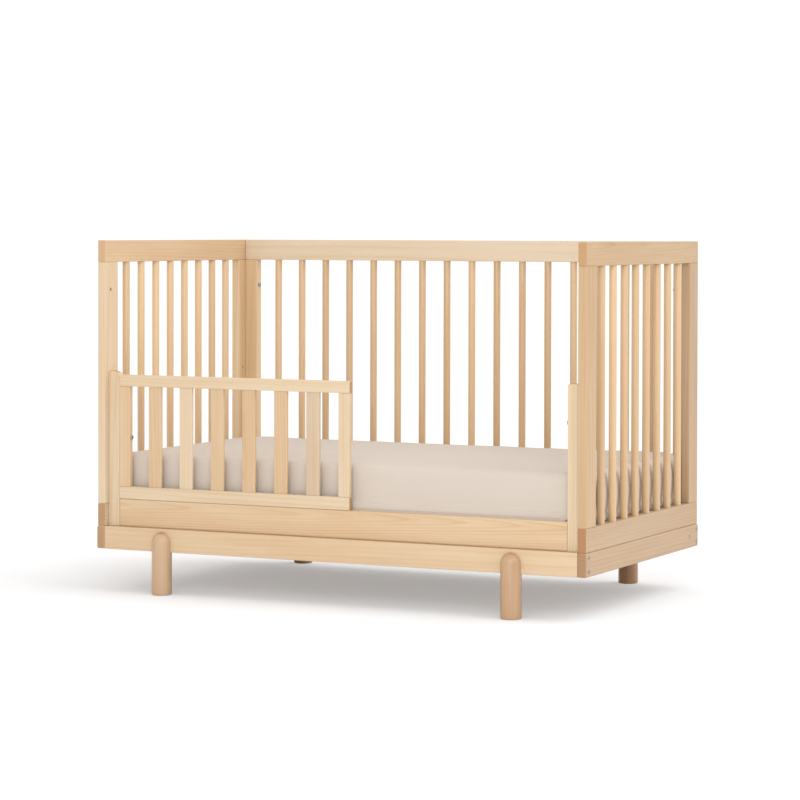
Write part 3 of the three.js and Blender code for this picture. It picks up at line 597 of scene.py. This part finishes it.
def spindle_shape(place, low, high):
    """A straight turned spindle with eased ends."""
    bm = bmesh.new()
    bmesh.ops.create_cone(bm, cap_ends=True, segments=SPINDLE_SEGMENTS, radius1=SPINDLE_RADIUS,
                          radius2=SPINDLE_RADIUS, depth=high - low)
    rims = [e for e in bm.edges if abs(e.verts[0].co.z - e.verts[1].co.z) < 1e-6]
    bmesh.ops.bevel(bm, geom=rims, offset=SPINDLE_END_EASE, segments=3, profile=0.5,
                    affect="EDGES", material=-1)
    bmesh.ops.translate(bm, verts=bm.verts, vec=(place[0], place[1], (low + high) / 2))
    return bm


def make_spindles():
    finishes = []
    for i, lighter in enumerate(SPINDLE_STEPS):
        shade = [level + lighter for level in SPINDLE_SHADE]
        finishes.append(timber_finish(f"turned_beech_{i + 1}", "z", (0, 0, 0), shade, END_SHADE,
                                      f"spindle {i}", heart=0.3 + 0.02 * i, spacing=0.0045,
                                      fibres=0.42, wander=0.012))
    dice = random.Random("spindle finishes")
    for name in sorted(nodes):
        if not name.startswith("back_spindle_"):
            continue
        low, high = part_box(name)
        middle = (low + high) / 2
        piece = add_piece("turned_" + name, spindle_shape(middle, low.z, high.z),
                          dice.choice(finishes))
        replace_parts(piece, name)
    for side in ("left", "right"):
        node = f"{side}_end_spindles"
        low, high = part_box(node)
        x = (low.x + high.x) / 2
        foot = low.z + BATTEN_HEIGHT
        first, last = low.y + BATTEN_END, high.y - BATTEN_END
        for i in range(END_SPINDLES):
            y = first + (last - first) * i / (END_SPINDLES - 1)
            piece = add_piece(f"turned_{side}_end_spindle_{i + 1}",
                              spindle_shape((x, y), foot, high.z), dice.choice(finishes))
            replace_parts(piece, node)
        bm = bmesh.new()
        bmesh.ops.create_cube(bm, size=1)
        bmesh.ops.scale(bm, verts=bm.verts,
                        vec=(high.x - low.x - BATTEN_CLEARANCE, high.y - low.y, BATTEN_HEIGHT))
        bmesh.ops.bevel(bm, geom=bm.edges[:], offset=BATTEN_EASE, segments=2, profile=0.5,
                        affect="EDGES", material=-1)
        bmesh.ops.translate(bm, verts=bm.verts,
                            vec=(x, (low.y + high.y) / 2, low.z + BATTEN_HEIGHT / 2))
        strip = timber_finish(f"batten_{side}", "y", (x, 0, low.z), SPINDLE_SHADE, END_SHADE, node)
        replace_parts(add_piece(f"{side}_spindle_batten", bm, strip), node)


LEG_RADIUS = 26 * MM
LEG_SEGMENTS = 64
LEG_FOOT_EASE = 3 * MM
LEG_DOME_STEPS = 12
BASE_FACE = 383 * MM  # outer faces of the base's front and rear rails
BASE_UNDER = 109 * MM
NOTCH_GAP = 0.3 * MM
# Mean display shades of the legs: front left, front right, rear left, rear right. The rear legs'
# deeper, redder shades are partly painted shade, for the shadow under the bed.
LEG_SHADES = ((216, 174, 131), (204, 156, 110), (186, 130, 86), (196, 138, 94))


def leg_shape(low, high, face):
    """A domed round leg whose upper half is notched to sit against the base rail."""
    top = high.z
    ease, steps = LEG_FOOT_EASE, LEG_DOME_STEPS
    profile = [(0, 0), (LEG_RADIUS - ease, 0)]
    profile += [(LEG_RADIUS - ease + ease * math.sin(a), ease - ease * math.cos(a))
                for a in (math.pi / 2 * i / 4 for i in range(1, 5))]
    profile += [(LEG_RADIUS, LEG_RADIUS), (LEG_RADIUS, top - LEG_RADIUS)]
    profile += [(LEG_RADIUS * math.cos(a), top - LEG_RADIUS + LEG_RADIUS * math.sin(a))
                for a in (math.pi / 2 * i / steps for i in range(1, steps))]
    profile += [(0, top)]
    bm = spun(profile, LEG_SEGMENTS)
    x = (low.x + high.x) / 2
    outer = low.y if face < 0 else high.y
    axis_y = outer - face * LEG_RADIUS
    bmesh.ops.translate(bm, verts=bm.verts, vec=(x, axis_y, 0))
    notch_y = BASE_FACE * face + face * NOTCH_GAP
    for place, facing in (((0, notch_y, 0), (0, 1, 0)), ((0, 0, BASE_UNDER), (0, 0, 1))):
        everything = bm.verts[:] + bm.edges[:] + bm.faces[:]
        bmesh.ops.bisect_plane(bm, geom=everything, dist=1e-7, plane_co=place, plane_no=facing)
    inside = [f for f in bm.faces
              if f.calc_center_median().z > BASE_UNDER
              and (f.calc_center_median().y - notch_y) * face < 0]
    bmesh.ops.delete(bm, geom=inside, context="FACES")
    rim = [e for e in bm.edges if e.is_boundary]
    corners = [v for v in {v for e in rim for v in e.verts}
               if abs(v.co.z - BASE_UNDER) < 1e-6 and abs(v.co.y - notch_y) < 1e-6]
    chord = bm.edges.new(corners)
    upright = [e for e in rim if all(abs(v.co.y - notch_y) < 1e-6 for v in e.verts)]
    level = [e for e in rim if e not in upright]
    bmesh.ops.contextual_create(bm, geom=upright + [chord])
    bmesh.ops.contextual_create(bm, geom=level + [chord])
    return bm


def make_legs():
    names = ("leg_front_left", "leg_front_right", "leg_rear_left", "leg_rear_right")
    for name, shade in zip(names, LEG_SHADES):
        low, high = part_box(name)
        face = -1 if "front" in name else 1
        finish = timber_finish("beech_" + name, "z", middle_of(name), shade, END_SHADE, name,
                               heart=0.05, spacing=0.004, rings=0.4, fibres=0.45)
        piece = add_piece("turned_" + name, leg_shape(low, high, face), finish)
        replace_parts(piece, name)


# ---- fasteners ------------------------------------------------------------------------------


BOLT_SEGMENTS = 24
BOLT_HEAD_RADIUS = 6 * MM
BOLT_HEAD_HEIGHT = 3.5 * MM
BOLT_RADIUS = 3 * MM
BASE_BOLT_PLACE = Vector((690 - 2.9, 369, 138.5)) * MM  # middle of each corner's pair
BASE_BOLT_HALF_SPACING = 16.5 * MM
HANGER_BOLT_X = 661.4 * MM
HANGER_BOLT_Z = 251 * MM
SIDES = ((-1, "left"), (1, "right"))
FACES = ((-1, "front"), (1, "rear"))


def bolt_shape(head_radius, head_height, shank_radius, shank_length, key=2.0 * MM):
    """A round-headed furniture bolt along z with a hex socket. Its head bears on z = 0."""
    soft = head_height * 0.35
    profile = [(0, -shank_length), (shank_radius - 0.5 * MM, -shank_length),
               (shank_radius, -shank_length + 0.5 * MM), (shank_radius, 0), (head_radius, 0)]
    profile += [(head_radius - soft + soft * math.cos(a), head_height - soft + soft * math.sin(a))
                for a in (math.pi / 2 * i / 4 for i in range(5))]
    bm = spun(profile, BOLT_SEGMENTS)
    rim = [e for e in bm.edges if e.is_boundary]
    hexagon = bmesh.ops.create_circle(bm, cap_ends=False, segments=6, radius=key)["verts"]
    bmesh.ops.translate(bm, verts=hexagon, vec=(0, 0, head_height))
    sides = list({e for v in hexagon for e in v.link_edges})
    split = bmesh.ops.subdivide_edges(bm, edges=sides, cuts=3)["geom_split"]
    ring = list({e for e in split if isinstance(e, bmesh.types.BMEdge)})
    bmesh.ops.bridge_loops(bm, edges=rim + ring)
    sunk = bmesh.ops.extrude_edge_only(bm, edges=ring)["geom"]
    floor = [v for v in sunk if isinstance(v, bmesh.types.BMVert)]
    bmesh.ops.translate(bm, verts=floor, vec=(0, 0, -0.7 * head_height))
    bmesh.ops.contextual_create(bm, geom=[e for e in sunk if isinstance(e, bmesh.types.BMEdge)
                                          and all(v in floor for v in e.verts)])
    return bm


def aim(bm, place, direction):
    """Turns a fastener's +z to the given direction and puts its bearing face at place."""
    turn = Vector((0, 0, 1)).rotation_difference(Vector(direction)).to_matrix().to_4x4()
    bmesh.ops.transform(bm, matrix=Matrix.Translation(place) @ turn, verts=bm.verts)
    return bm


def make_fasteners(zinc):
    """The panel and guard bolts in place of the CAD's, and the heads of the base's corner bolts."""
    directions = {
        "back_left_stile_bolt": 1,
        "back_right_stile_bolt": -1,
        "right_stile_bolt": -1,
        "guard_bolt": 1,
    }
    for name, direction in directions.items():
        low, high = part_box(name)
        middle = (low + high) / 2
        shank = high.x - low.x - BOLT_HEAD_HEIGHT
        bearing = high.x - BOLT_HEAD_HEIGHT if direction > 0 else low.x + BOLT_HEAD_HEIGHT
        shape = aim(bolt_shape(BOLT_HEAD_RADIUS, BOLT_HEAD_HEIGHT, BOLT_RADIUS, shank),
                    (bearing, middle.y, middle.z), (direction, 0, 0))
        piece = add_piece("zinc_" + name, shape, zinc, smooth_angle=30)
        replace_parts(piece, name)
    x, y, z = BASE_BOLT_PLACE
    for side, side_name in SIDES:
        for face, face_name in FACES:
            for up, level in ((-1, "low"), (1, "high")):
                # Only the head shows, in its recess, so the shank is a stub.
                head = bolt_shape(6.1 * MM, 2.7 * MM, BOLT_RADIUS, 0.05 * MM)
                shape = aim(head, (side * x, face * y, z + up * BASE_BOLT_HALF_SPACING), (side, 0, 0))
                add_piece(f"base_bolt_{side_name}_{face_name}_{level}", shape, zinc,
                          smooth_angle=30)


def make_hanger_bolts(zinc):
    """Screws through the deck's four hanging straps, which lie against the corner posts."""
    for side, side_name in SIDES:
        for y, face_name in ((-329 * MM, "front"), (340 * MM, "rear")):
            screw = bolt_shape(5 * MM, 2.2 * MM, 2.6 * MM, 3.2 * MM, key=1.7 * MM)
            shape = aim(screw, (side * HANGER_BOLT_X, y, HANGER_BOLT_Z), (-side, 0, 0))
            add_piece(f"hanger_bolt_{side_name}_{face_name}", shape, zinc, "mattress_support",
                      smooth_angle=30)


# ---- bedding --------------------------------------------------------------------------------


def new_object(name, bm):
    mesh = bpy.data.meshes.new(name)
    bm.to_mesh(mesh)
    bm.free()
    made = bpy.data.objects.new(name, mesh)
    scene.collection.objects.link(made)
    return made


def only(obj):
    bpy.ops.object.select_all(action="DESELECT")
    obj.select_set(True)
    bpy.context.view_layer.objects.active = obj


PAD_LOW = Vector((-0.654, -0.3395, 0.2405))
PAD_HIGH = Vector((0.654, 0.3505, 0.3555))
PAD_CORNER = 0.042
PAD_EDGE = 0.016
PAD_VOXEL = 0.016
FILLED_REACH = ((-0.6628, 0.6628), (-0.3408, 0.3520), (0.2405, 0.3602))  # once it is filled
PAD_SWELL = 0.008
END_FALL_TOP = 0.010  # how far the top of each end falls back from its middle
END_FALL_BOTTOM = 0.005
FILL_STEPS = 20
TUCK = 0.06  # sheet turned under the mattress
SHEET_EASE = 0.0009  # between the mattress and the sheet's middle
SHEET_THICKNESS = 0.0006
SHEET_Y = (-0.3478, 0.3552)  # clear of the guard and of the back panel
SHEET_X = 0.6658  # clear of the end spindles, but not of the top rails as the mattress is lifted


def pad_form():
    """The mattress as one closed block with round corners, before it is filled."""
    bm = bmesh.new()
    bmesh.ops.create_cube(bm, size=1)
    bmesh.ops.scale(bm, verts=bm.verts, vec=PAD_HIGH - PAD_LOW)
    bmesh.ops.translate(bm, verts=bm.verts, vec=(PAD_HIGH + PAD_LOW) / 2)
    upright = [e for e in bm.edges if abs(e.verts[0].co.z - e.verts[1].co.z) > 0.05]
    bmesh.ops.bevel(bm, geom=upright, offset=PAD_CORNER, segments=6, profile=0.5,
                    affect="EDGES", material=-1)
    rims = [e for e in bm.edges if abs(e.verts[0].co.z - e.verts[1].co.z) < 1e-6
            and e.calc_face_angle(0) > 1]
    bmesh.ops.bevel(bm, geom=rims, offset=PAD_EDGE, segments=3, profile=0.5,
                    affect="EDGES", material=-1)
    return new_object("mattress_core", bm)


def filled(pad):
    """Remeshes the block and lets a cloth simulation under pressure round its faces."""
    only(pad)
    pad.data.remesh_voxel_size = PAD_VOXEL
    bpy.ops.object.voxel_remesh()
    rest = [v.co.copy() for v in pad.data.vertices]
    moved = rest
    cloth = pad.modifiers.new("cloth", "CLOTH")
    cloth.settings.use_pressure = True
    cloth.settings.uniform_pressure_force = 4
    cloth.settings.effector_weights.gravity = 0
    cloth.settings.tension_stiffness = 60
    cloth.settings.compression_stiffness = 60
    scene.frame_start, scene.frame_end = 1, FILL_STEPS
    for step in range(1, FILL_STEPS + 1):
        scene.frame_set(step)
    made = pad.evaluated_get(bpy.context.evaluated_depsgraph_get())
    moved = [v.co.copy() for v in made.data.vertices]
    pad.modifiers.clear()
    scene.frame_set(1)
    middle, half = (PAD_HIGH.z + PAD_LOW.z) / 2, (PAD_HIGH.z - PAD_LOW.z) / 2
    for vertex, before, after in zip(pad.data.vertices, rest, moved):
        step = after - before
        if step.length > PAD_SWELL:
            step *= PAD_SWELL / step.length
        place = before + step
        fall = END_FALL_TOP if before.z > middle else END_FALL_BOTTOM
        fall *= min(1, abs(before.z - middle) / half) ** 2.2
        share = max(0, (abs(before.x) - 0.45) / (PAD_HIGH.x - 0.45))
        place.x -= math.copysign(fall * min(1, share), before.x)
        place.z = max(PAD_LOW.z, place.z)
        half_y, middle_y = (PAD_HIGH.y - PAD_LOW.y) / 2, (PAD_HIGH.y + PAD_LOW.y) / 2
        if before.z < PAD_LOW.z + 0.012 and abs(before.y - middle_y) > half_y - 0.012:
            aside = place.y - middle_y
            place.y = middle_y + math.copysign(max(abs(aside), half_y - 0.0015), aside)
            place.z = min(place.z, PAD_LOW.z + 0.005)
        vertex.co = place
    places = [vertex.co for vertex in pad.data.vertices]
    for axis, (low, high) in enumerate(FILLED_REACH):
        before = [min(p[axis] for p in places), max(p[axis] for p in places)]
        for vertex in pad.data.vertices:
            share = (vertex.co[axis] - before[0]) / (before[1] - before[0])
            vertex.co[axis] = low + (high - low) * share
    return pad


def smooth_faces(obj):
    for polygon in obj.data.polygons:
        polygon.use_smooth = True


def sheet_over(core):
    """The fitted sheet: the mattress's own skin, eased off it, open underneath and softly creased."""
    bm = bmesh.new()
    bm.from_mesh(core.data)
    open_x, open_y = PAD_HIGH.x - TUCK, (PAD_HIGH.y - PAD_LOW.y) / 2 - TUCK
    middle_y = (PAD_HIGH.y + PAD_LOW.y) / 2
    under = []
    for face in bm.faces:
        place = face.calc_center_median()
        inside = abs(place.x) < open_x and abs(place.y - middle_y) < open_y
        if place.z < PAD_LOW.z + 0.004 and inside:
            under.append(face)
    bmesh.ops.delete(bm, geom=under, context="FACES")
    bmesh.ops.subdivide_edges(bm, edges=bm.edges[:], cuts=1, use_grid_fill=True, smooth=0.6)
    bm.normal_update()
    shift = {}
    for vertex in bm.verts:
        place = vertex.co
        lift = SHEET_EASE
        if place.z > PAD_LOW.z + 0.012:
            soft = noise.noise(place * 9.0) * 0.5 + 0.5
            fine = Vector((place.x * 16, place.y * 16, place.z * 34)) + Vector((3, 7, 1))
            small = noise.noise(fine) * 0.5 + 0.5
            lift += 0.0016 * soft + 0.0012 * small + corner_creases(place)
        shift[vertex] = vertex.normal * lift
    for vertex, step in shift.items():
        vertex.co += step
        vertex.co.y = min(SHEET_Y[1], max(SHEET_Y[0], vertex.co.y))
        vertex.co.x = min(SHEET_X, max(-SHEET_X, vertex.co.x))
    made = new_object("fitted_sheet", bm)
    smooth_faces(made)
    return made


def corner_creases(place):
    """Pulled folds that run down and inwards from each corner of the mattress, and fade away."""
    x, y = abs(place.x), abs(place.y - (PAD_HIGH.y + PAD_LOW.y) / 2)
    from_x, from_y = PAD_HIGH.x - x, (PAD_HIGH.y - PAD_LOW.y) / 2 - y
    along = max(from_x, from_y)
    fade = max(0, 1 - along / 0.24) * min(1, along / 0.03)
    top = max(0, (place.z - PAD_LOW.z) / (PAD_HIGH.z - PAD_LOW.z))
    turn = (place.z - PAD_LOW.z + 0.35 * along) / 0.021
    return 0.0011 * fade * (0.5 + 0.5 * math.sin(2 * math.pi * turn)) * (0.35 + 0.65 * top)


HEM_TOP = 0.259
HEM_BOTTOM = 0.2295
HEM_LEAST_Z = 0.2535  # below this the sheet has turned under, so the hem hangs from here
HEM_PITCH = 0.0165  # one gather
HEM_COLUMNS = 12  # of each gather
HEM_ROWS = 9
# Each side's outward axis and sign, the run of its hem, how far out the hem may lie, and its folds.
HEM_SIDES = {
    "left": (0, -1, (-0.3, 0.311), (0.6562, 0.6652), 0.0022),
    "right": (0, 1, (-0.3, 0.311), (0.6562, 0.6652), 0.0022),
    "front": (1, -1, (-0.63, 0.63), (0.3412, 0.3442), 0.0007),
    "rear": (1, 1, (-0.622, 0.622), (0.3520, 0.3550), 0.0007),
}


def capped_tube(bm, rings):
    """Joins equal rings of vertices, one after another, into one closed solid."""
    for one, two in zip(rings, rings[1:]):
        for j in range(len(one)):
            k = (j + 1) % len(one)
            bm.faces.new((one[j], one[k], two[k], two[j]))
    bm.faces.new(rings[0])
    bm.faces.new(rings[-1])
    return bm


def hem_shape(label, skin):
    """The sheet's elastic hem along one side, gathered into small folds over the edge of the deck."""
    axis, side, (first, last), (inner, outer), folds = HEM_SIDES[label]
    dice = random.Random(f"hem {label}")
    count = round((last - first) / HEM_PITCH) * HEM_COLUMNS
    phase, bm, rings = 0.0, bmesh.new(), []
    outward = Vector((side, 0, 0)) if axis == 0 else Vector((0, side, 0))
    for i in range(count + 1):
        run = first + (last - first) * i / count
        phase += 2 * math.pi / HEM_COLUMNS * dice.uniform(0.7, 1.3)
        fold, small = math.sin(phase), math.sin(2.3 * phase + 1)
        end = min(1, i / 30, (count - i) / 30)
        drop = HEM_BOTTOM - HEM_TOP + 0.0012 * small
        drop *= 0.45 + 0.55 * math.sin(math.pi / 2 * end)
        ring = []
        for j in range(2 * HEM_ROWS):
            front = j < HEM_ROWS
            t = (j if front else 2 * HEM_ROWS - 1 - j) / (HEM_ROWS - 1)
            z = HEM_TOP + drop * t
            level = max(z, HEM_LEAST_Z)
            beside = Vector((0, run, level)) if axis == 0 else Vector((run, 0, level))
            hit = skin.ray_cast(beside + outward * 0.7, -outward)[0]
            base = min(outer, abs(hit[axis])) if t else abs(hit[axis])
            swell = end * min(1, max(0, 2 * t - 0.5)) * (folds * fold + 0.3 * folds * small)
            casing = 0.0007 * math.sin(math.pi * min(1, max(0, (t - 0.62) / 0.38)))
            thick = 0.0003 + casing
            out = base + 0.0001 + swell
            if t > 0.3:
                out = min(outer - thick, max(inner + thick, out))
            place = beside + outward * (out + (thick if front else -thick))
            place.z = z
            ring.append(bm.verts.new(place))
        rings.append(ring)
    return capped_tube(bm, rings)


SEAM_TOP = 0.352
SEAM_LENGTH = 0.104
SEAM_STEPS = 26


def seam_shape(side, face, skin):
    """A narrow sewn ridge down one corner of the sheet."""
    corner = Vector((side * (PAD_HIGH.x - PAD_CORNER),
                     (PAD_HIGH.y if face > 0 else PAD_LOW.y) - face * PAD_CORNER, 0))
    out = Vector((side, face, 0)).normalized()
    across = Vector((-out.y, out.x, 0))
    bm, rings = bmesh.new(), []
    steps = SEAM_STEPS
    for i in range(steps + 1):
        z = SEAM_TOP - SEAM_LENGTH * i / steps
        start = corner + out * 0.2 + Vector((0, 0, z))
        hit = skin.ray_cast(start, -out)[0]
        if not hit:
            continue
        size = 0.0011 * min(1, (i + 0.4) / 2, (steps - i + 0.4) / 2)
        rings.append([bm.verts.new(hit + across * math.cos(a) * size
                                   + out * (0.0004 + math.sin(a) * size * 0.7))
                      for a in (2 * math.pi * j / 8 for j in range(8))])
    return capped_tube(bm, rings)


def make_bedding():
    ticking = cloth_finish("mattress_ticking", srgb(240, 238, 233), srgb(196, 192, 186),
                           0.0011, 0.25)
    cotton = cloth_finish("sheet_cotton", srgb(233, 220, 207), srgb(196, 180, 164), 0.0007, 0.12)
    core = filled(pad_form())
    sheet = sheet_over(core)
    smooth_faces(core)
    for obj, cover in ((core, ticking), (sheet, cotton)):
        obj.data.materials.clear()
        obj.data.materials.append(cover)
        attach(obj, "mattress")
        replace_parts(obj, "mattress")
    skin = BVHTree.FromObject(sheet, bpy.context.evaluated_depsgraph_get())
    for label in HEM_SIDES:
        add_piece(f"sheet_hem_{label}", hem_shape(label, skin), cotton, "mattress",
                               smooth_angle=80)
    for side, side_name in SIDES:
        for face, face_name in FACES:
            add_piece(f"sheet_seam_{side_name}_{face_name}",
                                   seam_shape(side, face, skin), cotton,
                                   "mattress", smooth_angle=80)
    round_off = core.modifiers.new("round_off", "SUBSURF")
    round_off.levels = round_off.render_levels = 1
    cloth = sheet.modifiers.new("cloth_thickness", "SOLIDIFY")
    cloth.thickness, cloth.offset = SHEET_THICKNESS, 0


make_camera()
make_surroundings()
make_floor()
dress_timbers()
make_spindles()
make_legs()
zinc = metal_finish("zinc_plate", srgb(214, 216, 218), srgb(170, 172, 176),
                    0.0006, 0.28, 1.0, 0.00005)
# The deck's warm beige is partly its coat and partly painted warm light bounced off the wood, where
# it shows in shade under the mattress.
deck_coat_and_bounce = metal_finish("deck_coat_and_painted_bounce", srgb(214, 204, 190), srgb(194, 184, 170),
                      0.0009, 0.42, 0.0, 0.0001)
dress("mattress_support", deck_coat_and_bounce)
dress("guard_screw", zinc)
make_fasteners(zinc)
make_hanger_bolts(zinc)
make_bedding()
